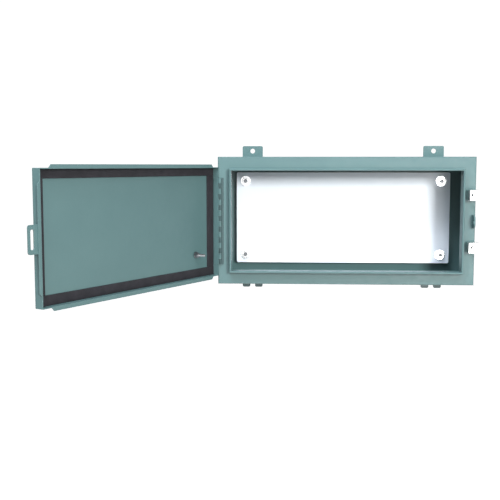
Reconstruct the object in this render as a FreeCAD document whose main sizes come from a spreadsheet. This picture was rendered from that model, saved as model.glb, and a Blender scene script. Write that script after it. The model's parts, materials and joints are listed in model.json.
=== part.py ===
import FreeCAD, Part
import os
import Sketcher
from FreeCAD import Placement, Rotation, Vector

# Wall-hung sheet-steel control panel enclosure with a hinged, gasketed door.
# Millimetres. +X right, +Y into the wall, +Z up. The origin lies on the wall plane, midway
# between the two round holes of the upper mounting feet. The door is modelled shut, in a frame
# on its hinge pin, and then swung open.

doc = FreeCAD.newDocument("enclosure")
sheet = doc.addObject("Spreadsheet::Sheet", "Sizes")

SIZES = [
    # box
    ("box_width", 609.6), ("box_height", 304.8), ("box_depth", 152.4), ("gauge", 1.9),
    ("front_bend", 2.5), ("weld_round", 1.0), ("overlap", 0.5),
    # rolled lip round the opening: its margins are measured from the outside of the box
    ("lip_outer", 28.5), ("lip_inner", 33.2), ("lip_rise", 20.8), ("lip_return", 12.7),
    ("hem_round", 2.2), ("hem_bottom", 2.6),
    # mounting feet
    ("foot_gauge", 2.7), ("foot_width", 51.6), ("foot_rise", 28.6), ("foot_lap", 30.0),
    ("foot_spacing", 457.2), ("foot_hole", 12.0), ("hole_rise", 15.9), ("foot_round", 4.0),
    # inner panel and what holds it
    ("panel_width", 536.0), ("panel_height", 228.6), ("panel_standoff", 18.6),
    ("panel_round", 4.0), ("panel_hole", 11.0), ("stud_span", 490.2), ("stud_row", 185.4),
    ("stud_collar", 19.0), ("stud_thread", 9.5), ("stud_tail", 3.0),
    ("nut_flats", 14.3), ("nut_height", 8.3), ("washer_width", 25.4), ("washer_gauge", 2.0),
    ("washer_hole", 10.3),
    # hinge
    ("pin_inset", 5.45), ("pin_forward", 3.1), ("pin_width", 3.0), ("knuckle_bore", 3.1),
    ("knuckle_width", 5.6), ("hinge_length", 207.0), ("hinge_drop", 0.9), ("knuckles", 16),
    ("knuckle_gap", 0.4), ("box_leaf", 8.45), ("box_leaf_gauge", 1.5), ("door_leaf", 16.0),
    ("door_leaf_gauge", 1.2), ("leaf_start", 3.4),
    # door pan, measured from the pin when shut
    ("open_angle", 119.0), ("pan_offset", 0.3), ("pan_width", 578.55), ("pan_height", 259.6),
    ("pan_drop", 2.2), ("pan_depth", 20.0), ("rim_gap", 3.2),
    ("flange_reach", 6.6), ("flange_free", 5.6), ("flange_stop", 24.0), ("flange_bevel", 6.0),
    # gasket: how far its inner edge lies inside each outer face of the pan
    ("gasket_gauge", 3.2), ("gasket_hinge", 26.0), ("gasket_free", 22.6),
    ("gasket_top", 19.8), ("gasket_bottom", 22.0),
    # bonding stud in the door
    ("bond_inset", 74.0), ("bond_drop", 76.4), ("bond_width", 6.35), ("bond_length", 28.6),
    ("bond_flats", 11.1), ("bond_nut", 5.6), ("bond_washer", 15.0), ("bond_washer_gauge", 1.3),
    ("bond_weld", 9.5), ("bond_weld_rise", 2.0),
    # hasp on the door, staple on the box
    ("hasp_gauge", 2.5), ("hasp_reach", 29.2), ("hasp_height", 54.4), ("hasp_round", 5.0),
    ("hasp_drop", 1.8), ("hasp_leg", 11.0), ("slot_width", 9.0), ("slot_height", 37.6),
    ("slot_centre", 19.0), ("slot_flat", 0.6), ("staple_inset", 5.6), ("staple_gauge", 3.0),
    ("staple_height", 31.0), ("staple_reach", 24.0), ("staple_hole", 9.5), ("staple_eye", 15.5),
    ("staple_flat", 3.0),
    # clamps on the closing side
    ("clamp_spacing", 123.0), ("clamp_lift", 1.2), ("clamp_gauge", 2.3), ("clamp_start", 19.9),
    ("clamp_width", 24.0), ("clamp_height", 25.4), ("clamp_front", 28.5), ("clamp_bend", 1.8),
    ("clamp_heel", 1.2), ("clamp_toe", 9.4), ("clamp_notch", 6.4), ("clamp_slot_start", 3.2),
    ("clamp_slot", 18.0), ("clamp_slot_width", 7.2), ("clamp_slot_flat", 0.05),
    ("screw_inset", 7.6), ("screw_width", 6.35),
    ("screw_bore", 6.5), ("screw_flats", 11.1), ("screw_head", 4.8), ("screw_slot", 1.4),
    ("screw_slot_deep", 1.8), ("screw_end", 3.0), ("screw_washer", 11.8),
    ("screw_washer_gauge", 1.5), ("boss_width", 12.7), ("boss_rise", 16.0), ("boss_weld", 1.6),
]
for row, (alias, value) in enumerate(SIZES, start=1):
    sheet.set("A%d" % row, alias)
    sheet.set("B%d" % row, str(value))
    sheet.setAlias("B%d" % row, alias)
doc.recompute()

ALIASES = sorted((alias for alias, _ in SIZES), key=len, reverse=True)


def bound(formula):
    """Turn a formula of plain size names into an expression on the sheet."""
    words = []
    word = ""
    for letter in formula + " ":
        if letter.isalnum() or letter in "_.":
            word += letter
            continue
        words.append("Sizes." + word if word in ALIASES else word)
        words.append(letter)
        word = ""
    return "".join(words).strip()


def value(formula):
    """The number that a formula of size names gives."""
    found = sheet.evalExpression(bound(formula))
    return float(getattr(found, "Value", found))


# --- where things stand -------------------------------------------------------------------

BOX_BASE = Vector(0, -value("foot_gauge + box_depth"), -value("hole_rise + box_height / 2"))
PIN_BASE = BOX_BASE + Vector(value("pin_inset - box_width / 2"), -value("pin_forward"), 0)


def in_box(along=0, depth=0, height=0):
    """A place in the box: from its middle, its front face and its mid-height."""
    return Placement(BOX_BASE + Vector(along, depth, height), Rotation())


def on_door():
    """The door's frame: on the pin, swung open."""
    return Placement(PIN_BASE, Rotation(Vector(0, 0, 1), -value("open_angle")))


# --- sketches -----------------------------------------------------------------------------

def new_body(label, placement):
    body = doc.addObject("PartDesign::Body", label)
    body.Label = label
    body.Placement = placement
    return body


def new_sketch(body, name, plane, lift="0"):
    sketch = body.newObject("Sketcher::SketchObject", name)
    support = [item for item in body.Origin.OriginFeatures if item.Role == plane][0]
    sketch.AttachmentSupport = [(support, "")]
    sketch.MapMode = "FlatFace"
    sketch.setExpression(".AttachmentOffset.Base.z", bound(lift))
    return sketch


def pin_point(sketch, geometry, end, across, upward):
    """Hold one point of a sketch at a place given by two formulas."""
    for kind, axis, formula in (("DistanceX", -2, across), ("DistanceY", -1, upward)):
        if abs(value(formula)) < 1e-9:
            sketch.addConstraint(Sketcher.Constraint("PointOnObject", geometry, end, axis))
            continue
        index = sketch.addConstraint(
            Sketcher.Constraint(kind, -1, 1, geometry, end, value(formula)))
        sketch.setExpression("Constraints[%d]" % index, bound(formula))


def draw_outline(sketch, corners):
    """A closed outline of straight sides through the given corners."""
    points = [Vector(value(across), value(upward), 0) for across, upward in corners]
    count = len(points)
    first = sketch.GeometryCount
    for side in range(count):
        sketch.addGeometry(Part.LineSegment(points[side], points[(side + 1) % count]), False)
    for side in range(count):
        sketch.addConstraint(Sketcher.Constraint(
            "Coincident", first + side, 2, first + (side + 1) % count, 1))
        pin_point(sketch, first + side, 1, *corners[side])


def draw_rectangle(sketch, left, right, low, high):
    draw_outline(sketch, [(left, low), (right, low), (right, high), (left, high)])


def draw_circle(sketch, across, upward, width):
    centre = Vector(value(across), value(upward), 0)
    index = sketch.addGeometry(
        Part.Circle(centre, Vector(0, 0, 1), value(width) / 2), False)
    pin_point(sketch, index, 3, across, upward)
    size = sketch.addConstraint(Sketcher.Constraint("Diameter", index, value(width)))
    sketch.setExpression("Constraints[%d]" % size, bound(width))


# --- features: every pad and pocket starts at its sketch and runs in the direction named ---

def add_pad(body, sketch, length, backwards=False):
    pad = body.newObject("PartDesign::Pad", sketch.Name + "_pad")
    pad.Profile = sketch
    pad.setExpression("Length", bound(length))
    pad.Reversed = backwards
    sketch.Visibility = False
    return pad


def add_pocket(body, sketch, length, backwards=False):
    doc.recompute()
    before = body.Shape.Volume
    pocket = body.newObject("PartDesign::Pocket", sketch.Name + "_cut")
    pocket.Profile = sketch
    pocket.setExpression("Length", bound(length))
    pocket.Reversed = backwards
    doc.recompute()
    if body.Shape.Volume >= before - 1e-6:
        raise RuntimeError("%s cuts nothing" % pocket.Name)
    return pocket


def add_fillet(body, radius, wanted):
    """Round the edges of the body that the test wants."""
    doc.recompute()
    base = body.Tip
    names = ["Edge%d" % (i + 1) for i, edge in enumerate(base.Shape.Edges)
             if wanted(edge.BoundBox)]
    if not names:
        raise RuntimeError("no edge to round on %s" % body.Label)
    fillet = body.newObject("PartDesign::Fillet", body.Name + "_round")
    fillet.Base = (base, names)
    fillet.setExpression("Radius", bound(radius))
    doc.recompute()
    return fillet


def add_pattern(body, originals, length, count):
    """Repeat features upwards, evenly, over a length."""
    pattern = body.newObject("PartDesign::LinearPattern", body.Name + "_row")
    pattern.Originals = originals
    axis = [item for item in body.Origin.OriginFeatures if item.Role == "Z_Axis"][0]
    pattern.Direction = (axis, [""])
    pattern.setExpression("Length", bound(length))
    pattern.setExpression("Occurrences", bound(count))
    body.Tip = pattern
    doc.recompute()
    return pattern


EDGE = 1.0  # an edge runs along an axis when it is longer than this that way


def near(one, other):
    return abs(one - other) < 1e-4


# --- primitives, for fasteners: all of them point forwards, out of the box ------------------

FORWARD = Rotation(Vector(1, 0, 0), 90)


def round_bar(name, width, length):
    bar = doc.addObject("Part::Cylinder", name)
    bar.setExpression("Radius", bound("(%s) / 2" % width))
    bar.setExpression("Height", bound(length))
    return bar


def hexagon(name, flats, length):
    """A hexagonal blank whose front corners are bevelled."""
    prism = doc.addObject("Part::Prism", name + "_prism")
    prism.Polygon = 6
    prism.setExpression("Circumradius", bound("%s / sqrt(3)" % flats))
    prism.setExpression("Height", bound(length))
    cone = doc.addObject("Part::Cone", name + "_cone")
    cone.setExpression("Radius1", bound("%s / 2 + %s * sqrt(3)" % (flats, length)))
    cone.setExpression("Radius2", bound("%s / 2" % flats))
    cone.setExpression("Height", bound(length))
    blank = doc.addObject("Part::Common", name)
    blank.Base = prism
    blank.Tool = cone
    return blank


def joined(kind, name, base, tool):
    result = doc.addObject(kind, name)
    result.Base = base
    result.Tool = tool
    return result


def ring(name, outer, inner, length):
    return joined("Part::Cut", name, round_bar(name + "_disc", outer, length),
                  round_bar(name + "_hole", inner, length))


def hex_nut(name, flats, bore, length):
    return joined("Part::Cut", name, hexagon(name + "_blank", flats, length),
                  round_bar(name + "_hole", bore, length))


def grouped(label, pieces, placement):
    group = doc.addObject("Part::Compound", label)
    group.Label = label
    group.Links = pieces
    group.Placement = placement
    return group


def four_places():
    """The inner panel's four fixing points, across and upwards from its middle."""
    half_span = value("stud_span") / 2
    half_row = value("stud_row") / 2
    return [(across, upward) for across in (-half_span, half_span)
            for upward in (-half_row, half_row)]


# --- the box ------------------------------------------------------------------------------

def frame_rectangle(sketch, margin):
    draw_rectangle(sketch, "%s - box_width / 2" % margin, "box_width / 2 - (%s)" % margin,
                   "%s - box_height / 2" % margin, "box_height / 2 - (%s)" % margin)


def make_box_shell():
    """Four sides, the front flange and the lip rolled forwards round the opening."""
    body = new_body("box_shell", in_box())
    outside = new_sketch(body, "shell_outside", "XZ_Plane")
    frame_rectangle(outside, "0")
    add_pad(body, outside, "box_depth", backwards=True)
    add_fillet(body, "weld_round", lambda b: b.YLength > EDGE)
    add_fillet(body, "front_bend", lambda b: near(b.YMin, 0) and near(b.YMax, 0))
    inside = new_sketch(body, "shell_inside", "XZ_Plane", "-gauge")
    frame_rectangle(inside, "gauge")
    add_pocket(body, inside, "box_depth")
    lip = new_sketch(body, "shell_lip", "XZ_Plane", "lip_rise")
    frame_rectangle(lip, "lip_outer")
    add_pad(body, lip, "lip_rise + gauge / 2", backwards=True)
    back = new_sketch(body, "shell_return", "XZ_Plane", "-gauge / 2")
    frame_rectangle(back, "lip_inner - gauge")
    add_pad(body, back, "lip_return - gauge / 2", backwards=True)
    opening = new_sketch(body, "shell_opening", "XZ_Plane", "lip_rise")
    frame_rectangle(opening, "lip_inner")
    add_pocket(body, opening, "lip_rise + lip_return")
    front = -value("lip_rise")
    add_fillet(body, "hem_round", lambda b: near(b.YMin, front) and near(b.YMax, front))
    hem = new_sketch(body, "shell_hem", "XZ_Plane", "lip_rise - hem_bottom")
    frame_rectangle(hem, "lip_outer + gauge")
    frame_rectangle(hem, "lip_inner - gauge")
    add_pocket(body, hem, "lip_rise - hem_bottom + lip_return")
    return body


def make_back_wall():
    body = new_body("back_wall", in_box(depth=value("box_depth - gauge")))
    outline = new_sketch(body, "back_outline", "XZ_Plane")
    frame_rectangle(outline, "gauge")
    add_pad(body, outline, "gauge", backwards=True)
    return body


def make_foot(label, side, upper):
    """A flat foot lapped on the back: a round hole above, a slot open at its end below."""
    edge = value("box_height") / 2 * (1 if upper else -1)
    place = in_box(side * value("foot_spacing") / 2, value("box_depth"), edge)
    if not upper:
        place.Rotation = Rotation(Vector(0, 1, 0), 180)
    body = new_body(label, place)
    plate = new_sketch(body, label + "_plate", "XZ_Plane")
    draw_rectangle(plate, "-foot_width / 2", "foot_width / 2", "-foot_lap", "foot_rise")
    add_pad(body, plate, "foot_gauge", backwards=True)
    top = value("foot_rise")
    add_fillet(body, "foot_round",
               lambda b: b.YLength > EDGE and near(b.ZMin, top) and near(b.ZMax, top))
    hole = new_sketch(body, label + "_hole", "XZ_Plane")
    draw_circle(hole, "0", "hole_rise", "foot_hole")
    add_pocket(body, hole, "foot_gauge")
    if not upper:
        slot = new_sketch(body, label + "_slot", "XZ_Plane")
        draw_rectangle(slot, "-foot_hole / 2", "foot_hole / 2", "hole_rise", "foot_rise + overlap")
        add_pocket(body, slot, "foot_gauge")
        add_fillet(body, "foot_round",
                   lambda b: b.YLength > EDGE and near(b.ZMin, top) and near(b.ZMax, top)
                   and abs(b.XMin) < value("foot_width") / 4)
    return body


def make_staple():
    """A D-shaped plate that stands forwards, edge-on, with an eye for a padlock."""
    body = new_body("padlock_staple", in_box(value("box_width / 2 - staple_inset")))
    plate = new_sketch(body, "staple_plate", "YZ_Plane", "-staple_gauge / 2")
    draw_rectangle(plate, "-staple_reach", "0", "-staple_height / 2", "staple_height / 2")
    add_pad(body, plate, "staple_gauge")
    tip = -value("staple_reach")
    add_fillet(body, "staple_height / 2 - staple_flat",
               lambda b: b.XLength > EDGE and near(b.YMin, tip) and near(b.YMax, tip))
    eye = new_sketch(body, "staple_eye_hole", "YZ_Plane", "staple_gauge / 2")
    draw_circle(eye, "-staple_eye", "0", "staple_hole")
    add_pocket(body, eye, "staple_gauge")
    return body


# --- the inner panel ----------------------------------------------------------------------

def make_inner_panel():
    body = new_body("inner_panel", in_box(depth=value("box_depth - gauge - panel_standoff")))
    plate = new_sketch(body, "panel_plate", "XZ_Plane")
    draw_rectangle(plate, "-panel_width / 2", "panel_width / 2",
                   "-panel_height / 2", "panel_height / 2")
    add_pad(body, plate, "gauge")
    add_fillet(body, "panel_round", lambda b: b.YLength > EDGE)
    holes = new_sketch(body, "panel_holes", "XZ_Plane", "gauge")
    for across in ("-stud_span / 2", "stud_span / 2"):
        for upward in ("-stud_row / 2", "stud_row / 2"):
            draw_circle(holes, across, upward, "panel_hole")
    add_pocket(body, holes, "gauge")
    return body


def make_panel_fixings():
    """Collar studs welded to the back wall, with a washer and a nut on each."""
    seat = value("box_depth - gauge")
    front = seat - value("panel_standoff + gauge")
    studs, washers, nuts = [], [], []
    for number, (across, upward) in enumerate(four_places()):
        collar = round_bar("stud_collar_%d" % number, "stud_collar", "panel_standoff")
        thread = round_bar("stud_thread_%d" % number, "stud_thread",
                           "panel_standoff + gauge + washer_gauge + nut_height + stud_tail")
        stud = joined("Part::Fuse", "stud_%d" % number, collar, thread)
        washer = ring("panel_washer_%d" % number, "washer_width", "washer_hole", "washer_gauge")
        nut = hex_nut("panel_nut_%d" % number, "nut_flats", "stud_thread", "nut_height")
        stud.Placement = Placement(Vector(across, seat, upward), FORWARD)
        washer.Placement = Placement(Vector(across, front, upward), FORWARD)
        nut.Placement = Placement(
            Vector(across, front - value("washer_gauge"), upward), FORWARD)
        studs.append(stud)
        washers.append(washer)
        nuts.append(nut)
    return [grouped("panel_studs", studs, in_box()), grouped("panel_washers", washers, in_box()),
            grouped("panel_nuts", nuts, in_box())]


# --- the hinge ----------------------------------------------------------------------------

def add_knuckles(body, web, first):
    """Every other knuckle, on short webs, with the pin's bore through them all."""
    start = "-hinge_drop - hinge_length / 2 + %d * hinge_length / knuckles + knuckle_gap / 2"
    length = "hinge_length / knuckles - knuckle_gap"
    web_sketch = new_sketch(body, body.Name + "_web", "XY_Plane", start % first)
    draw_rectangle(web_sketch, *web)
    web_pad = add_pad(body, web_sketch, length)
    barrel = new_sketch(body, body.Name + "_barrel", "XY_Plane", start % first)
    draw_circle(barrel, "0", "0", "knuckle_width")
    barrel_pad = add_pad(body, barrel, length)
    add_pattern(body, [web_pad, barrel_pad],
                "hinge_length - 2 * hinge_length / knuckles", "knuckles / 2")
    bore = new_sketch(body, body.Name + "_bore", "XY_Plane", "hinge_length")
    draw_circle(bore, "0", "0", "knuckle_bore")
    add_pocket(body, bore, "2 * hinge_length")
    return body


def make_box_leaf():
    body = new_body("hinge_leaf_box", Placement(PIN_BASE, Rotation()))
    strip = new_sketch(body, "box_leaf_strip", "XY_Plane", "-hinge_drop - hinge_length / 2")
    draw_rectangle(strip, "leaf_start", "box_leaf",
                   "pin_forward - box_leaf_gauge", "pin_forward")
    add_pad(body, strip, "hinge_length")
    web = ("0", "leaf_start + overlap", "pin_forward - box_leaf_gauge", "knuckle_width / 2")
    return add_knuckles(body, web, 0)


def make_door_leaf():
    body = new_body("hinge_leaf_door", on_door())
    inner = "gauge - pan_offset"
    strip = new_sketch(body, "door_leaf_strip", "XY_Plane", "-hinge_drop - hinge_length / 2")
    draw_rectangle(strip, inner, inner + " + door_leaf_gauge", "-door_leaf", "-leaf_start")
    add_pad(body, strip, "hinge_length")
    web = (inner, inner + " + door_leaf_gauge", "-leaf_start - overlap", "0")
    return add_knuckles(body, web, 1)


def make_pin():
    pin = round_bar("hinge_pin", "pin_width", "hinge_length")
    pin.Label = "hinge_pin"
    pin.Placement = Placement(
        PIN_BASE - Vector(0, 0, value("hinge_drop + hinge_length / 2")), Rotation())
    return pin


# --- the door -----------------------------------------------------------------------------

PAN_LEFT = "-pan_offset"
PAN_RIGHT = "pan_width - pan_offset"
PAN_LOW = "-pan_drop - pan_height / 2"
PAN_HIGH = "pan_height / 2 - pan_drop"


def add_edge_flange(body, name, corners):
    """One outward flange on the pan's rim, with bevelled ends."""
    sketch = new_sketch(body, name, "XZ_Plane", "rim_gap")
    draw_outline(sketch, corners)
    return add_pad(body, sketch, "gauge")


def make_door_pan():
    """A shallow pan with outward flanges on three sides; the hinge side has none."""
    body = new_body("door_pan", on_door())
    outside = new_sketch(body, "pan_outside", "XZ_Plane", "rim_gap")
    draw_rectangle(outside, PAN_LEFT, PAN_RIGHT, PAN_LOW, PAN_HIGH)
    add_pad(body, outside, "pan_depth")
    face = -value("rim_gap + pan_depth")
    add_fillet(body, "weld_round", lambda b: b.YLength > EDGE)
    add_fillet(body, "front_bend", lambda b: near(b.YMin, face) and near(b.YMax, face))
    inside = new_sketch(body, "pan_inside", "XZ_Plane", "rim_gap + pan_depth - gauge")
    draw_rectangle(inside, PAN_LEFT + " + gauge", PAN_RIGHT + " - gauge",
                   PAN_LOW + " + gauge", PAN_HIGH + " - gauge")
    add_pocket(body, inside, "pan_depth")
    root_left = PAN_LEFT + " + flange_stop"
    root_right = PAN_RIGHT + " - flange_stop"
    for name, wall, outwards, inwards in (("flange_top", PAN_HIGH, "+", "-"),
                                          ("flange_bottom", PAN_LOW, "-", "+")):
        inner = "%s %s overlap" % (wall, inwards)
        outer = "%s %s flange_reach" % (wall, outwards)
        add_edge_flange(body, name, [
            (root_left, inner), (root_right, inner), (root_right, wall),
            (root_right + " - flange_bevel", outer), (root_left + " + flange_bevel", outer),
            (root_left, wall)])
    root_low = PAN_LOW + " + flange_stop"
    root_high = PAN_HIGH + " - flange_stop"
    add_edge_flange(body, "flange_side", [
        (PAN_RIGHT + " - overlap", root_low), (PAN_RIGHT, root_low),
        (PAN_RIGHT + " + flange_free", root_low + " + flange_bevel"),
        (PAN_RIGHT + " + flange_free", root_high + " - flange_bevel"),
        (PAN_RIGHT, root_high), (PAN_RIGHT + " - overlap", root_high)])
    return body


def make_gasket():
    """A flat foam strip all round the bottom of the pan, as thick as it is when the door is shut."""
    body = new_body("door_gasket", on_door())
    strip = new_sketch(body, "gasket_strip", "XZ_Plane",
                       "rim_gap + pan_depth - gauge - gasket_gauge")
    draw_rectangle(strip, PAN_LEFT + " + gauge", PAN_RIGHT + " - gauge",
                   PAN_LOW + " + gauge", PAN_HIGH + " - gauge")
    draw_rectangle(strip, PAN_LEFT + " + gasket_hinge", PAN_RIGHT + " - gasket_free",
                   PAN_LOW + " + gasket_bottom", PAN_HIGH + " - gasket_top")
    add_pad(body, strip, "gasket_gauge")
    return body


def make_hasp():
    """A slotted plate behind the closing flange, with a leg welded to the pan's wall."""
    body = new_body("hasp_plate", on_door())
    low = "-hasp_drop - hasp_height / 2"
    high = "hasp_height / 2 - hasp_drop"
    plate = new_sketch(body, "hasp_outline", "XZ_Plane", "rim_gap + gauge")
    draw_rectangle(plate, PAN_RIGHT, PAN_RIGHT + " + hasp_reach", low, high)
    add_pad(body, plate, "hasp_gauge")
    edge = value(PAN_RIGHT + " + hasp_reach")
    add_fillet(body, "hasp_round",
               lambda b: b.YLength > EDGE and near(b.XMin, edge) and near(b.XMax, edge))
    leg = new_sketch(body, "hasp_leg_outline", "XZ_Plane", "rim_gap + gauge + hasp_gauge")
    draw_rectangle(leg, PAN_RIGHT, PAN_RIGHT + " + hasp_gauge", low, high)
    add_pad(body, leg, "hasp_leg")
    slot = new_sketch(body, "hasp_slot", "XZ_Plane", "rim_gap + gauge + hasp_gauge")
    middle = PAN_RIGHT + " + slot_centre"
    draw_rectangle(slot, middle + " - slot_width / 2", middle + " + slot_width / 2",
                   "-hasp_drop - slot_height / 2", "slot_height / 2 - hasp_drop")
    add_pocket(body, slot, "hasp_gauge")
    slot_left = value(middle + " - slot_width / 2")
    slot_right = value(middle + " + slot_width / 2")
    add_fillet(body, "slot_width / 2 - slot_flat", lambda b: b.YLength > EDGE and near(b.XMin, b.XMax)
               and near(b.ZMin, b.ZMax) and (near(b.XMin, slot_left) or near(b.XMin, slot_right)))
    return body


def make_bonding_stud():
    """A stud welded inside the door for the bonding strap, with its washer and nut."""
    spin = Rotation(Vector(1, 0, 0), -90)
    foot = Vector(value(PAN_LEFT + " + bond_inset"),
                  -value("rim_gap + pan_depth - gauge"), -value("bond_drop"))
    weld = round_bar("bond_weld_disc", "bond_weld", "bond_weld_rise")
    shank = round_bar("bond_shank", "bond_width", "bond_length")
    stud = joined("Part::Fuse", "bonding_stud", weld, shank)
    washer = ring("bonding_washer", "bond_washer", "bond_width", "bond_washer_gauge")
    nut = hex_nut("bonding_nut", "bond_flats", "bond_width", "bond_nut")
    rise = 0.0
    for piece, next_rise in ((stud, "bond_weld_rise"), (washer, "bond_washer_gauge"), (nut, "0")):
        piece.Label = piece.Name
        piece.Placement = on_door() * Placement(foot + Vector(0, rise, 0), spin)
        rise += value(next_rise)
    return [stud, washer, nut]


# --- the clamps ---------------------------------------------------------------------------

def clamp_height(upper):
    return value("clamp_lift") + value("clamp_spacing") / 2 * (1 if upper else -1)


def screw_across():
    return value("box_width / 2 - screw_inset")


def make_clamp(label, height):
    """A pressed clamp: its toe bears on the door's flange and its two cheeks on the box."""
    body = new_body(label, in_box(value("box_width / 2 - clamp_start"), 0, height))
    cap = new_sketch(body, label + "_cap", "XZ_Plane", "clamp_front")
    draw_rectangle(cap, "0", "clamp_width", "-clamp_height / 2", "clamp_height / 2")
    add_pad(body, cap, "clamp_front - clamp_toe", backwards=True)
    cheeks = new_sketch(body, label + "_cheeks", "XZ_Plane", "clamp_toe")
    draw_rectangle(cheeks, "clamp_notch", "clamp_width",
                   "-clamp_height / 2", "clamp_height / 2")
    add_pad(body, cheeks, "clamp_toe - clamp_heel", backwards=True)
    front = -value("clamp_front")
    add_fillet(body, "clamp_bend", lambda b: near(b.XMin, 0) and near(b.XMax, 0) and b.YLength > EDGE)
    add_fillet(body, "clamp_bend", lambda b: near(b.YMin, front) and near(b.YMax, front)
               and b.XMin < value("clamp_notch"))
    inside = new_sketch(body, label + "_inside", "XZ_Plane", "clamp_front - clamp_gauge")
    draw_rectangle(inside, "clamp_gauge", "clamp_width",
                   "clamp_gauge - clamp_height / 2", "clamp_height / 2 - clamp_gauge")
    add_pocket(body, inside, "clamp_front")
    slot = new_sketch(body, label + "_slot", "XZ_Plane", "clamp_front")
    draw_rectangle(slot, "clamp_slot_start", "clamp_slot_start + clamp_slot",
                   "-clamp_slot_width / 2", "clamp_slot_width / 2")
    add_pocket(body, slot, "clamp_gauge")
    slot_ends = (value("clamp_slot_start"), value("clamp_slot_start + clamp_slot"))
    reach = value("clamp_slot_width") / 2
    add_fillet(body, "clamp_slot_width / 2 - clamp_slot_flat", lambda b: near(b.XMin, b.XMax)
               and near(b.ZMin, b.ZMax) and near(abs(b.ZMin), reach)
               and (near(b.XMin, slot_ends[0]) or near(b.XMin, slot_ends[1])))
    return body


def make_clamp_screw(label, height):
    """A slotted hexagon-head screw."""
    head = hexagon(label + "_head", "screw_flats", "screw_head")
    reach = "clamp_front + screw_washer_gauge - screw_end"
    shank = round_bar(label + "_shank", "screw_width", reach)
    shank.Placement = Placement(Vector(0, 0, -value(reach)), Rotation())
    whole = joined("Part::Fuse", label + "_whole", head, shank)
    slot = doc.addObject("Part::Box", label + "_slot")
    slot.setExpression("Length", bound("2 * screw_flats"))
    slot.setExpression("Width", bound("screw_slot"))
    slot.setExpression("Height", bound("screw_slot_deep"))
    slot.Placement = Placement(Vector(-value("screw_flats"), -value("screw_slot") / 2,
                                      value("screw_head - screw_slot_deep")), Rotation())
    screw = joined("Part::Cut", label, whole, slot)
    screw.Label = label
    screw.Placement = in_box(screw_across(), -value("clamp_front + screw_washer_gauge"), height)
    screw.Placement.Rotation = FORWARD
    return screw


def make_clamp_washer(label, height):
    washer = ring(label, "screw_washer", "screw_bore", "screw_washer_gauge")
    washer.Label = label
    washer.Placement = in_box(screw_across(), -value("clamp_front"), height)
    washer.Placement.Rotation = FORWARD
    return washer


def make_boss(label, height):
    """The tapped boss that the clamp's screw turns in, on a wider welded foot."""
    post = round_bar(label + "_post", "boss_width", "boss_rise")
    foot = round_bar(label + "_foot", "boss_width + 2 * boss_weld", "boss_weld")
    solid = joined("Part::Fuse", label + "_solid", post, foot)
    boss = joined("Part::Cut", label, solid, round_bar(label + "_bore", "screw_bore", "boss_rise"))
    boss.Label = label
    boss.Placement = in_box(screw_across(), 0, height)
    boss.Placement.Rotation = FORWARD
    return boss


# --- everything ---------------------------------------------------------------------------

def make_all():
    parts = [make_box_shell(), make_back_wall(), make_staple(), make_inner_panel()]
    for side, word in ((-1, "left"), (1, "right")):
        parts.append(make_foot("mounting_foot_upper_" + word, side, True))
        parts.append(make_foot("mounting_foot_lower_" + word, side, False))
    parts += make_panel_fixings()
    parts += [make_box_leaf(), make_door_leaf(), make_pin()]
    parts += [make_door_pan(), make_gasket(), make_hasp()]
    parts += make_bonding_stud()
    for word, upper in (("upper", True), ("lower", False)):
        height = clamp_height(upper)
        parts.append(make_clamp("clamp_" + word, height))
        parts.append(make_clamp_screw("clamp_screw_" + word, height))
        parts.append(make_clamp_washer("clamp_washer_" + word, height))
        parts.append(make_boss("clamp_boss_" + word, height))
    return parts


def check(parts):
    for item in doc.Objects:
        if "Invalid" in item.State or "Error" in item.State:
            raise RuntimeError("%s failed: %s" % (item.Name, item.State))
    for part in parts:
        if part.Shape.isNull() or not part.Shape.isValid():
            raise RuntimeError("%s has no valid shape" % part.Label)


def write(parts):
    os.makedirs("parts", exist_ok=True)
    for part in parts:
        part.Shape.exportStep("parts/%s.step" % part.Label)
        box = part.Shape.BoundBox
        print("%-28s %2d solid(s) %10.0f mm3  x %.1f..%.1f  y %.1f..%.1f  z %.1f..%.1f" % (
            part.Label, len(part.Shape.Solids), part.Shape.Volume,
            box.XMin, box.XMax, box.YMin, box.YMax, box.ZMin, box.ZMax))


PARTS = make_all()
doc.recompute()
check(PARTS)
write(PARTS)
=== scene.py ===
import json
import math

import bmesh
import bpy
from mathutils import Matrix, Vector, noise


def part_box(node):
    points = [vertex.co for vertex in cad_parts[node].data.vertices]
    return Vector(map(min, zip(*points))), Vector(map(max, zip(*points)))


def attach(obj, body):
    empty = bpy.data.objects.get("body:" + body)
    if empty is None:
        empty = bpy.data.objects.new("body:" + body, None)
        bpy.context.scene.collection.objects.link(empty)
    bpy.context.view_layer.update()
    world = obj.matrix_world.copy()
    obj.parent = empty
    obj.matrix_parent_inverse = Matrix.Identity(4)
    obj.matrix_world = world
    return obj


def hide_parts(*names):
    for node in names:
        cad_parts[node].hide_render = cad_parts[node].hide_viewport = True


# A wall-hung control panel enclosure with its door open: powder-coated sheet steel, a white
# inner panel on four collar studs, a foam gasket in the door and two stainless clamps.
# Everything is in metres in the part's own frame: +X right, +Y into the wall, +Z up.

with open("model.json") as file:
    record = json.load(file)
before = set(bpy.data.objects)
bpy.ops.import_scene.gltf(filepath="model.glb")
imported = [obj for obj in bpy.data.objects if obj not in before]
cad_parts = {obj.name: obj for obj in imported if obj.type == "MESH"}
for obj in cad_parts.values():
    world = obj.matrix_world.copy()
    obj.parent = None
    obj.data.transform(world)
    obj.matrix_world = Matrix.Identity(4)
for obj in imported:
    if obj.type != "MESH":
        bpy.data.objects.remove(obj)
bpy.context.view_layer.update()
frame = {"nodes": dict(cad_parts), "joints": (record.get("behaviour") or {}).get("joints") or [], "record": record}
NODES = frame["nodes"]
MM = 0.001
INCH = 25.4 * MM

# --- places read from the frame -----------------------------------------------------------

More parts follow.
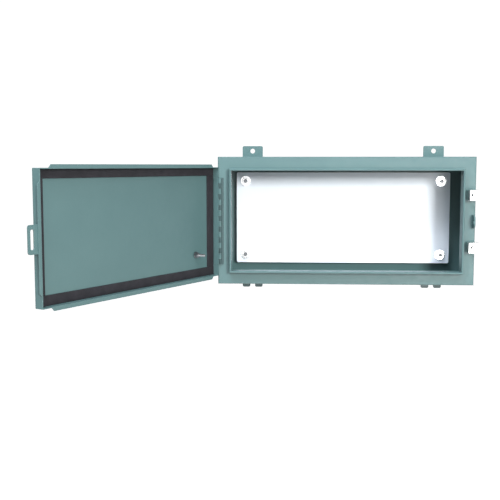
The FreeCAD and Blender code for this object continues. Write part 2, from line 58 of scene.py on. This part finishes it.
SHELL_LOW, SHELL_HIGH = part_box("box_shell")
LIP_RISE = 20.8 * MM
FLANGE_Y = SHELL_LOW.y + LIP_RISE
MID_HEIGHT = (SHELL_LOW.z + SHELL_HIGH.z) / 2
OPEN_ANGLE = math.radians(119)
HINGE = [joint for joint in frame["joints"] if joint["name"] == "door_hinge"][0]
DOOR_PLACE = Matrix.Translation(HINGE["pos_m"]) @ Matrix.Rotation(-OPEN_ANGLE, 4, "Z")


def door_levels(node, axis):
    """The different coordinates of a node's corners along one axis of the shut door."""
    back = DOOR_PLACE.inverted()
    found = sorted((back @ v.co)[axis] for v in NODES[node].data.vertices)
    levels = found[:1]
    for level in found:
        if level - levels[-1] > 0.1 * MM:
            levels.append(level)
    return levels


# --- materials ----------------------------------------------------------------------------

class Finish:
    """A node material; its patterns are in metres in the part's frame."""

    def __init__(self, name):
        self.material = bpy.data.materials.new(name)
        self.material.use_nodes = True
        self.tree = self.material.node_tree
        self.surface = self.tree.nodes["Principled BSDF"]
        self.place = self.node("ShaderNodeTexCoord").outputs["Object"]

    def node(self, kind, **settings):
        made = self.tree.nodes.new(kind)
        for key, setting in settings.items():
            setattr(made, key, setting)
        return made

    def link(self, source, target):
        self.tree.links.new(source, target)

    def set(self, **values):
        """Plain values on the shader's own sockets."""
        for name, number in values.items():
            self.surface.inputs[name.replace("_", " ")].default_value = number

    def stretched(self, stretch):
        mapping = self.node("ShaderNodeMapping")
        mapping.inputs["Scale"].default_value = stretch
        self.link(self.place, mapping.inputs["Vector"])
        return mapping.outputs["Vector"]

    def noise(self, grain, detail=2.0, stretch=(1, 1, 1)):
        """Noise whose grains are about this many metres across."""
        made = self.node("ShaderNodeTexNoise")
        made.inputs["Scale"].default_value = 1 / grain
        made.inputs["Detail"].default_value = detail
        self.link(self.stretched(stretch), made.inputs["Vector"])
        return made.outputs["Fac"]

    def cells(self, size):
        made = self.node("ShaderNodeTexVoronoi")
        made.inputs["Scale"].default_value = 1 / size
        self.link(self.place, made.inputs["Vector"])
        return made.outputs["Distance"]

    def spread(self, source, low, high, from_low=0.3, from_high=0.7):
        """A pattern's values, stretched to run from low to high."""
        made = self.node("ShaderNodeMapRange")
        made.inputs["From Min"].default_value = from_low
        made.inputs["From Max"].default_value = from_high
        made.inputs["To Min"].default_value = low
        made.inputs["To Max"].default_value = high
        self.link(source, made.inputs["Value"])
        return made.outputs["Result"]

    def blend(self, factor, one, other):
        """Colour one where the factor is 0 and the other where it is 1."""
        made = self.node("ShaderNodeMix", data_type="RGBA")
        sockets = [s for s in made.inputs if s.type == "RGBA"]
        for socket, colour in zip(sockets, (one, other)):
            if isinstance(colour, bpy.types.NodeSocket):
                self.link(colour, socket)
            else:
                socket.default_value = (*colour, 1)
        self.link(factor, made.inputs["Factor"])
        return [s for s in made.outputs if s.type == "RGBA"][0]

    def soft_edges(self, radius):
        made = self.node("ShaderNodeBevel", samples=4)
        made.inputs["Radius"].default_value = radius
        return made.outputs["Normal"]

    def edge_highlight_mask(self, rounded):
        """0 on flat faces, rising to 1 on edges, where the painted highlight goes."""
        geometry = self.node("ShaderNodeNewGeometry")
        product = self.node("ShaderNodeVectorMath", operation="DOT_PRODUCT")
        self.link(rounded, product.inputs[0])
        self.link(geometry.outputs["Normal"], product.inputs[1])
        return self.spread(product.outputs["Value"], 1, 0, 0.86, 1.0)

    def bump(self, height, depth, strength=1.0, under=None):
        made = self.node("ShaderNodeBump")
        made.inputs["Distance"].default_value = depth
        made.inputs["Strength"].default_value = strength
        self.link(height, made.inputs["Height"])
        if under is not None:
            self.link(under, made.inputs["Normal"])
        return made.outputs["Normal"]

    def colour(self, socket):
        self.link(socket, self.surface.inputs["Base Color"])

    def roughness(self, socket):
        self.link(socket, self.surface.inputs["Roughness"])

    def normal(self, socket):
        self.link(socket, self.surface.inputs["Normal"])


def powder_coat(name, light, deep, edge_highlight, gloss):
    """Powder coat: a fine orange peel, faint clouding and a painted highlight: paler colour on the edges."""
    finish = Finish(name)
    rounded = finish.soft_edges(0.7 * MM)
    clouds = finish.spread(finish.noise(90 * MM, 3), 0, 1)
    body = finish.blend(clouds, light, deep)
    # The paler edge colour is a painted highlight on the rounded edges.
    finish.colour(finish.blend(finish.edge_highlight_mask(rounded), body, edge_highlight))
    finish.roughness(finish.spread(finish.noise(14 * MM, 4), gloss - 0.05, gloss + 0.05))
    peel = finish.bump(finish.noise(1.3 * MM, 2), 0.03 * MM, 0.5, rounded)
    finish.normal(finish.bump(finish.noise(0.35 * MM, 1), 0.01 * MM, 0.4, peel))
    finish.set(Specular_IOR_Level=0.42)
    return finish.material


def plated_steel(name, light, deep, gloss, grain, stretch):
    """Metal with drawn or turned lines and faint clouds in its plating."""
    finish = Finish(name)
    rounded = finish.soft_edges(0.3 * MM)
    clouds = finish.spread(finish.noise(6 * MM, 3), 0, 1)
    finish.colour(finish.blend(clouds, light, deep))
    lines = finish.noise(grain, 3, stretch)
    finish.roughness(finish.spread(lines, gloss - 0.06, gloss + 0.08))
    finish.normal(finish.bump(lines, 0.008 * MM, 0.35, rounded))
    finish.set(Metallic=1.0)
    return finish.material


def gasket_foam(name):
    """Closed-cell foam: dark, matt and finely pitted, with painted shade darkening the pits."""
    finish = Finish(name)
    cells = finish.cells(0.9 * MM)
    patches = finish.spread(finish.noise(22 * MM, 4), 0, 1)
    skin = finish.blend(patches, (0.016, 0.0155, 0.018), (0.025, 0.024, 0.028))
    # The darker colour in the pits is painted shade.
    pit_shade = finish.spread(cells, 1, 0, 0.0, 0.35)
    finish.colour(finish.blend(pit_shade, skin, (0.009, 0.009, 0.010)))
    finish.roughness(finish.spread(cells, 0.72, 0.92, 0.1, 0.6))
    coarse = finish.bump(finish.noise(4 * MM, 3), 0.12 * MM, 0.5)
    finish.normal(finish.bump(cells, 0.10 * MM, 0.6, coarse))
    finish.set(Specular_IOR_Level=0.3)
    return finish.material


# The third colour of each coat is its painted edge highlight.
PAINT = powder_coat("enclosure_powder_coat", (0.081, 0.146, 0.147), (0.074, 0.136, 0.138),
                    (0.118, 0.190, 0.190), 0.44)
# A darker copy of the enclosure paint for the box's hinge leaf: painted shade.
SHADED_HINGE_PAINT = powder_coat("hinge_shaded_powder_coat", (0.040, 0.072, 0.074), (0.034, 0.062, 0.064),
                          (0.050, 0.085, 0.086), 0.55)
WHITE = powder_coat("panel_powder_coat", (0.80, 0.85, 0.92), (0.78, 0.835, 0.91),
                    (0.84, 0.87, 0.92), 0.38)
ZINC = plated_steel("bright_zinc", (0.80, 0.80, 0.79), (0.72, 0.73, 0.74), 0.26,
                    0.5 * MM, (1, 1, 1))
# A darker copy of the zinc plating: painted shade on the stud collars and threads, the bonding hardware and the
# hinge pin.
SHADED_ZINC = plated_steel("zinc_painted_shade", (0.26, 0.27, 0.28), (0.19, 0.20, 0.21), 0.46,
                         0.5 * MM, (1, 1, 1))
STAINLESS = plated_steel("satin_stainless", (0.90, 0.90, 0.89), (0.84, 0.84, 0.83), 0.34,
                         0.4 * MM, (0.06, 1, 1))
SCREW_STEEL = plated_steel("turned_stainless", (0.34, 0.34, 0.34), (0.27, 0.27, 0.27), 0.30,
                           0.4 * MM, (1, 1, 1))
FOAM = gasket_foam("closed_cell_foam")

FINISHES = {"enclosure_paint": PAINT, "panel_paint": WHITE, "zinc_plate": ZINC,
            "stainless": STAINLESS, "gasket_foam": FOAM}
# The hinge leaf, pin and bonding hardware take darker copies of their finishes here: painted shade.
OWN_FINISHES = {"bonding_nut": SHADED_ZINC, "bonding_washer": SHADED_ZINC, "hinge_pin": SHADED_ZINC,
                "hinge_leaf_box": SHADED_HINGE_PAINT, "clamp_screw_upper": SCREW_STEEL,
                "clamp_screw_lower": SCREW_STEEL, "clamp_washer_upper": SCREW_STEEL,
                "clamp_washer_lower": SCREW_STEEL}


def dress_frame():
    """Each CAD node's finish: its own, or that of the material slot that the record gives it."""
    slots = {row["node"]: row["material_slot"] for row in frame["record"]["subparts"]}
    for node, piece in NODES.items():
        piece.data.materials.clear()
        piece.data.materials.append(OWN_FINISHES.get(node, FINISHES[slots[node]]))


# --- mesh tools ---------------------------------------------------------------------------

def new_piece(name, corners, faces, body, slot, place=None, finish=None):
    """A mesh piece that rides on a body, in its material slot's finish unless it has its own."""
    mesh = bpy.data.meshes.new(name)
    mesh.from_pydata([tuple(c) for c in corners], [], faces)
    if place is not None:
        mesh.transform(place)
    mesh.validate()
    mesh.update()
    piece = bpy.data.objects.new(name, mesh)
    bpy.context.scene.collection.objects.link(piece)
    mesh.materials.append(finish or FINISHES[slot])
    mesh.shade_smooth()
    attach(piece, body)
    return piece


def rings_to_faces(ring_count, ring_size, first=0):
    """Faces of a closed tube whose rings follow each other, with a flat cap at each end."""
    faces = []
    for ring in range(ring_count - 1):
        for side in range(ring_size):
            a = first + ring * ring_size + side
            b = first + ring * ring_size + (side + 1) % ring_size
            faces.append((a, b, b + ring_size, a + ring_size))
    last = first + (ring_count - 1) * ring_size
    faces.append(tuple(range(first + ring_size - 1, first - 1, -1)))
    faces.append(tuple(range(last, last + ring_size)))
    return faces


def sharpen(piece, angle):
    """Smooth shading, except across edges sharper than the angle."""
    piece.data.set_sharp_from_angle(angle=math.radians(angle))


# --- threaded studs -----------------------------------------------------------------------

THREAD_SIDES = 40
THREAD_RINGS = 8            # for each turn of the thread
THREAD_DEPTH = 0.5          # of the pitch
TAPER_SLOPE = 0.9           # how fast a rod's end narrows
FORWARD = Matrix.Rotation(math.radians(90), 4, "X")     # turns +Z to -Y, out of the box
INWARD = Matrix.Rotation(math.radians(-90), 4, "X")     # turns +Z to +Y, into the box

COLLAR_RADIUS = 9.5 * MM
COLLAR_LENGTH = 18.6 * MM
COLLAR_BEVEL = 0.8 * MM
PANEL_THREAD = 9.5 * MM
PANEL_PITCH = INCH / 16
PANEL_TAPER = 1.6 * MM
BOND_THREAD = INCH / 4
BOND_PITCH = INCH / 20
BOND_TAPER = 1.2 * MM


def threaded_rod(length, width, pitch, taper):
    """A rod along +Z with a real helical thread, narrowing over its last stretch."""
    depth = THREAD_DEPTH * pitch
    rings = int(length / pitch * THREAD_RINGS)
    corners = []
    for ring in range(rings + 1):
        rise = length * ring / rings
        end = max(0.0, rise - length + taper)
        for side in range(THREAD_SIDES):
            turn = side / THREAD_SIDES
            phase = (rise / pitch - turn) % 1.0
            cut = depth * (1 - abs(2 * phase - 1))
            radius = width / 2 - max(cut, TAPER_SLOPE * end)
            angle = 2 * math.pi * turn
            corners.append(Vector((radius * math.cos(angle), radius * math.sin(angle), rise)))
    return corners, rings_to_faces(rings + 1, THREAD_SIDES)


def turned(profile, sides=48):
    """A solid of revolution about +Z through (radius, height) points."""
    corners = []
    for radius, height in profile:
        for side in range(sides):
            angle = 2 * math.pi * side / sides
            corners.append(Vector((radius * math.cos(angle), radius * math.sin(angle), height)))
    return corners, rings_to_faces(len(profile), sides)


STILL = Matrix.Identity(4)


def gathered(solids):
    """Several solids with their places, as one list of corners and one of faces."""
    corners, faces = [], []
    for (solid_corners, solid_faces), place in solids:
        first = len(corners)
        corners += [place @ corner for corner in solid_corners]
        faces += [tuple(first + index for index in face) for face in solid_faces]
    return corners, faces


def make_panel_studs():
    """Collar studs: a chamfered collar, and a thread that comes through the panel and nut."""
    low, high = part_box("panel_studs")
    across = high.x - COLLAR_RADIUS
    upward = high.z - MID_HEIGHT - COLLAR_RADIUS
    collar = turned([(COLLAR_RADIUS, 0), (COLLAR_RADIUS, COLLAR_LENGTH - COLLAR_BEVEL),
                     (COLLAR_RADIUS - COLLAR_BEVEL, COLLAR_LENGTH)])
    rod_length = high.y - low.y - COLLAR_LENGTH
    rod = threaded_rod(rod_length, PANEL_THREAD, PANEL_PITCH, PANEL_TAPER)
    solids = []
    for x in (-across, across):
        for z in (MID_HEIGHT - upward, MID_HEIGHT + upward):
            foot = Matrix.Translation((x, high.y, z)) @ FORWARD
            solids.append((collar, foot))
            solids.append((rod, foot @ Matrix.Translation((0, 0, COLLAR_LENGTH))))
    corners, faces = gathered(solids)
    # The collar studs take the darker zinc copy, painted shade.
    piece = new_piece("panel_studs_threaded", corners, faces, "enclosure", "zinc_plate",
                      finish=SHADED_ZINC)
    sharpen(piece, 30)
    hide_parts("panel_studs")


def make_bonding_stud():
    """The door's bonding stud, with its thread and the weld pad at its foot."""
    depths = door_levels("bonding_stud", 1)
    length = depths[-1] - depths[0]
    across = door_levels("bonding_stud", 0)
    upward = door_levels("bonding_stud", 2)
    foot = Vector(((across[0] + across[-1]) / 2, depths[0], (upward[0] + upward[-1]) / 2))
    pad = turned([(4.75 * MM, 0), (4.5 * MM, 1.2 * MM), (3.6 * MM, 1.9 * MM), (3.0 * MM, 2 * MM)])
    rod = threaded_rod(length, BOND_THREAD, BOND_PITCH, BOND_TAPER)
    place = DOOR_PLACE @ Matrix.Translation(foot) @ INWARD
    corners, faces = gathered([(pad, place), (rod, place)])
    # The bonding stud takes the darker zinc copy, painted shade.
    piece = new_piece("bonding_stud_threaded", corners, faces, "door", "zinc_plate",
                      finish=SHADED_ZINC)
    sharpen(piece, 30)
    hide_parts("bonding_stud")


# --- the gasket ---------------------------------------------------------------------------

FOAM_STEP = 4 * MM
FOAM_ROUND = 0.9 * MM
FOAM_WAVER = 0.12 * MM
FOAM_TOP_GRAIN = 35         # waves a metre, across the top
FOAM_SIDE_GRAIN = 50        # and along the sides
FOAM_ARC_STEPS = 4
BUTT_GAP = 0.15 * MM


def foam_section(width, height):
    """A flat foot, upright sides and a top with rounded edges, as (across, up)."""
    points = [(0, 0), (width, 0)]
    for step in range(FOAM_ARC_STEPS + 1):
        angle = math.radians(90) * step / FOAM_ARC_STEPS
        points.append((width - FOAM_ROUND * (1 - math.cos(angle)),
                       height - FOAM_ROUND * (1 - math.sin(angle))))
    for step in range(FOAM_ARC_STEPS + 1):
        angle = math.radians(90) * step / FOAM_ARC_STEPS
        points.append((FOAM_ROUND * (1 - math.sin(angle)),
                       height - FOAM_ROUND * (1 - math.cos(angle))))
    return points


def foam_strip(start, along, across, up, length, width, height):
    """One strip, cut square at its ends, that wavers a little as soft foam does."""
    section = foam_section(width, height)
    steps = max(2, round(length / FOAM_STEP))
    corners = []
    for step in range(steps + 1):
        middle = start + along * (length * step / steps)
        for side, rise in section:
            corner = middle + across * side + up * rise
            if rise > height / 2:
                sink = abs(noise.noise(corner * FOAM_TOP_GRAIN)) * FOAM_WAVER
                corner = corner - up * sink
                inset = (noise.noise(corner * FOAM_SIDE_GRAIN) + 0.6) * FOAM_WAVER
                corner = corner + across * (inset if side < width / 2 else -inset)
            corners.append(corner)
    faces = rings_to_faces(steps + 1, len(section))
    return corners, faces


def make_gasket():
    """Two long strips, and two short ones butted between them."""
    left, inner_left, inner_right, right = door_levels("door_gasket", 0)
    floor, top = door_levels("door_gasket", 1)
    low, inner_low, inner_high, high = door_levels("door_gasket", 2)
    x, y, z = Vector((1, 0, 0)), Vector((0, 1, 0)), Vector((0, 0, 1))
    height = top - floor
    short = inner_high - inner_low - 2 * BUTT_GAP
    upright = inner_low + BUTT_GAP
    strips = [
        foam_strip(Vector((left, floor, low)), x, z, y, right - left, inner_low - low, height),
        foam_strip(Vector((left, floor, inner_high)), x, z, y, right - left,
                   high - inner_high, height),
        foam_strip(Vector((left, floor, upright)), z, x, y, short, inner_left - left, height),
        foam_strip(Vector((inner_right, floor, upright)), z, x, y, short,
                   right - inner_right, height),
    ]
    corners, faces = gathered([(strip, STILL) for strip in strips])
    piece = new_piece("door_gasket_foam", corners, faces, "door", "gasket_foam", DOOR_PLACE)
    recalculate(piece)
    sharpen(piece, 40)
    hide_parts("door_gasket")


def recalculate(piece):
    """Make all normals point outwards."""
    mesh = bmesh.new()
    mesh.from_mesh(piece.data)
    bmesh.ops.recalc_face_normals(mesh, faces=mesh.faces)
    mesh.to_mesh(piece.data)
    mesh.free()


# --- weld beads ---------------------------------------------------------------------------

BEAD_SIDES = 12
BEAD_RIPPLE = 1.7 * MM
RIPPLE_SWELL = 0.09         # of the bead's radius, like the wander
BEAD_WANDER = 0.15
END_SWELL = 0.05            # the least thickness squared, at a bead's two ends
STAPLE_BEAD = 1.1 * MM
FOOT_BEAD = 1.5 * MM
HASP_BEAD = 1.2 * MM


def bead(start, end, radius):
    """A painted weld bead: a rippled rod with rounded ends, half sunk in the corner it fills."""
    run = end - start
    along = run.normalized()
    side = along.orthogonal().normalized()
    other = along.cross(side)
    steps = max(8, round(run.length / (BEAD_RIPPLE / 4)))
    corners = []
    for step in range(steps + 1):
        travelled = run.length * step / steps
        ends = min(travelled, run.length - travelled) / radius
        swell = math.sqrt(max(END_SWELL, 1 - (1 - min(1.0, ends)) ** 2))
        ripple = 1 + RIPPLE_SWELL * math.sin(2 * math.pi * travelled / BEAD_RIPPLE)
        wander = noise.noise(start * 90 + along * travelled * 120) * BEAD_WANDER * radius
        middle = start + along * travelled + side * wander
        for corner in range(BEAD_SIDES):
            angle = 2 * math.pi * corner / BEAD_SIDES
            reach = radius * swell * ripple
            corners.append(middle + side * (reach * math.cos(angle))
                           + other * (reach * math.sin(angle)))
    return corners, rings_to_faces(steps + 1, BEAD_SIDES)


def make_beads(name, body, runs, radius, place=None):
    """One piece that holds a bead along each (start, end) run."""
    corners, faces = gathered([(bead(Vector(a), Vector(b), radius), STILL) for a, b in runs])
    piece = new_piece(name, corners, faces, body, "enclosure_paint", place)
    recalculate(piece)


def weld_staple():
    """Along both sides of the staple's foot."""
    low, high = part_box("padlock_staple")
    margin = 2.5 * MM
    runs = [((x, high.y, low.z + margin), (x, high.y, high.z - margin)) for x in (low.x, high.x)]
    make_beads("weld_staple", "enclosure", runs, STAPLE_BEAD)


def weld_feet():
    """Along both sides of each foot, where it laps on the back."""
    margin = 4 * MM
    runs = []
    for node in NODES:
        if not node.startswith("mounting_foot"):
            continue
        low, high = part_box(node)
        bottom = max(low.z, SHELL_LOW.z) + margin
        top = min(high.z, SHELL_HIGH.z) - margin
        for x in (low.x, high.x):
            runs.append(((x, low.y, bottom), (x, low.y, top)))
    make_beads("weld_feet", "enclosure", runs, FOOT_BEAD)


def weld_hasp():
    """Across the front end of the hasp's leg, on the door's free wall."""
    wall = door_levels("hasp_plate", 0)[0]
    front = door_levels("hasp_plate", 1)[0]
    upward = door_levels("hasp_plate", 2)
    margin = 6 * MM
    runs = [((wall, front, upward[0] + margin), (wall, front, upward[-1] - margin))]
    make_beads("weld_hasp", "door", runs, HASP_BEAD, DOOR_PLACE)


# --- stage --------------------------------------------------------------------------------

COOL = (0.93, 0.98, 1.06)
WARM = (1.0, 1.0, 0.97)
NEUTRAL = (1, 1, 1)
AIM = Vector((0, FLANGE_Y, MID_HEIGHT))


def add_area(name, at, size, watts, colour, glossy=True, diffuse=True):
    """A soft light that faces the middle of the box's front, and may be left out of gloss."""
    light = bpy.data.lights.new(name, "AREA")
    light.shape = "RECTANGLE"
    light.size, light.size_y = size
    light.energy = watts
    light.color = colour
    lamp = bpy.data.objects.new(name, light)
    lamp.location = at
    lamp.rotation_euler = (AIM - Vector(at)).to_track_quat("-Z", "Y").to_euler()
    lamp.visible_glossy = glossy
    lamp.visible_diffuse = diffuse
    bpy.context.scene.collection.objects.link(lamp)


def make_lights():
    """Studio lights. Those that would burn out the box's top from behind are kept out of gloss."""
    add_area("key_front_right", (1.8, -4.6, 0.8), (0.9, 0.9), 280, WARM, glossy=False)
    add_area("low_sheen", (1.1, -4.4, -0.45), (1.1, 0.8), 78, NEUTRAL, diffuse=False)
    add_area("steep_left", (-0.9, -1.6, 1.7), (0.9, 0.9), 54, COOL, glossy=False)
    add_area("steep_middle", (0.2, -1.5, 1.7), (1.6, 0.9), 26, COOL, glossy=False)
    add_area("front_high", (0.0, -3.0, 1.6), (1.6, 1.6), 30, COOL, glossy=False)
    add_area("front_low", (0.1, -2.6, -0.8), (1.6, 0.6), 9, NEUTRAL)
    add_area("behind_left", (-1.0, 2.6, 0.3), (2.0, 0.9), 85, NEUTRAL, glossy=False)
    add_area("behind_right", (1.9, 1.4, 0.3), (1.2, 0.9), 30, NEUTRAL, glossy=False)


def background(tree, colour, strength):
    made = tree.nodes.new("ShaderNodeBackground")
    made.inputs["Color"].default_value = (*colour, 1)
    made.inputs["Strength"].default_value = strength
    return made.outputs[0]


def make_world():
    """White to the camera, a little dimmer in reflections and much dimmer as a light."""
    world = bpy.data.worlds.new("studio")
    bpy.context.scene.world = world
    world.use_nodes = True
    tree = world.node_tree
    tree.nodes.clear()
    rays = tree.nodes.new("ShaderNodeLightPath")
    glossy = background(tree, (0.97, 0.98, 1.0), 0.95)
    fill = background(tree, (1.0, 1.0, 1.0), 0.10)
    seen = background(tree, (1.0, 1.0, 1.0), 1.05)
    first = tree.nodes.new("ShaderNodeMixShader")
    second = tree.nodes.new("ShaderNodeMixShader")
    out = tree.nodes.new("ShaderNodeOutputWorld")
    tree.links.new(rays.outputs["Is Glossy Ray"], first.inputs[0])
    tree.links.new(fill, first.inputs[1])
    tree.links.new(glossy, first.inputs[2])
    tree.links.new(rays.outputs["Is Camera Ray"], second.inputs[0])
    tree.links.new(first.outputs[0], second.inputs[1])
    tree.links.new(seen, second.inputs[2])
    tree.links.new(second.outputs[0], out.inputs["Surface"])


FLOOR_REACH = 14.0
FLOOR_SIDES = 64
FLOOR_DROP = 1.15


def make_floor():
    """A plain pale floor, well below the enclosure, which hangs on a wall."""
    finish = Finish("pale_floor")
    shade = finish.spread(finish.noise(0.6, 2), 0, 1)
    finish.colour(finish.blend(shade, (0.93, 0.93, 0.93), (0.95, 0.95, 0.95)))
    finish.set(Roughness=0.9, Emission_Color=(1, 1, 1, 1), Emission_Strength=0.9)
    mesh = bpy.data.meshes.new("floor")
    turns = [2 * math.pi * k / FLOOR_SIDES for k in range(FLOOR_SIDES)]
    ring = [(FLOOR_REACH * math.cos(turn), FLOOR_REACH * math.sin(turn), 0) for turn in turns]
    mesh.from_pydata(ring, [], [tuple(range(FLOOR_SIDES))])
    mesh.materials.append(finish.material)
    floor = bpy.data.objects.new("floor", mesh)
    floor.location = (0, 0, SHELL_LOW.z - FLOOR_DROP)
    floor.visible_diffuse = False    # it hangs high on a wall, so the floor lights nothing
    bpy.context.scene.collection.objects.link(floor)


CAMERA_LENS = 60.94
CAMERA_PLACE = (-0.1240, -2.1750, -0.0368)
CAMERA_DIP = 0.0994         # radians below level
CAMERA_TURN = 0.0513        # radians to the left


def make_camera():
    camera = bpy.data.cameras.new("camera")
    camera.sensor_width = 36.0
    camera.lens = CAMERA_LENS
    stand = bpy.data.objects.new("camera", camera)
    stand.location = CAMERA_PLACE
    stand.rotation_euler = (math.radians(90) - CAMERA_DIP, 0, CAMERA_TURN)
    bpy.context.scene.collection.objects.link(stand)
    bpy.context.scene.camera = stand


# --- everything ---------------------------------------------------------------------------

make_camera()
dress_frame()
make_panel_studs()
make_bonding_stud()
make_gasket()
weld_staple()
weld_feet()
weld_hasp()
make_world()
make_floor()
make_lights()
bpy.context.scene.view_settings.view_transform = "Standard"
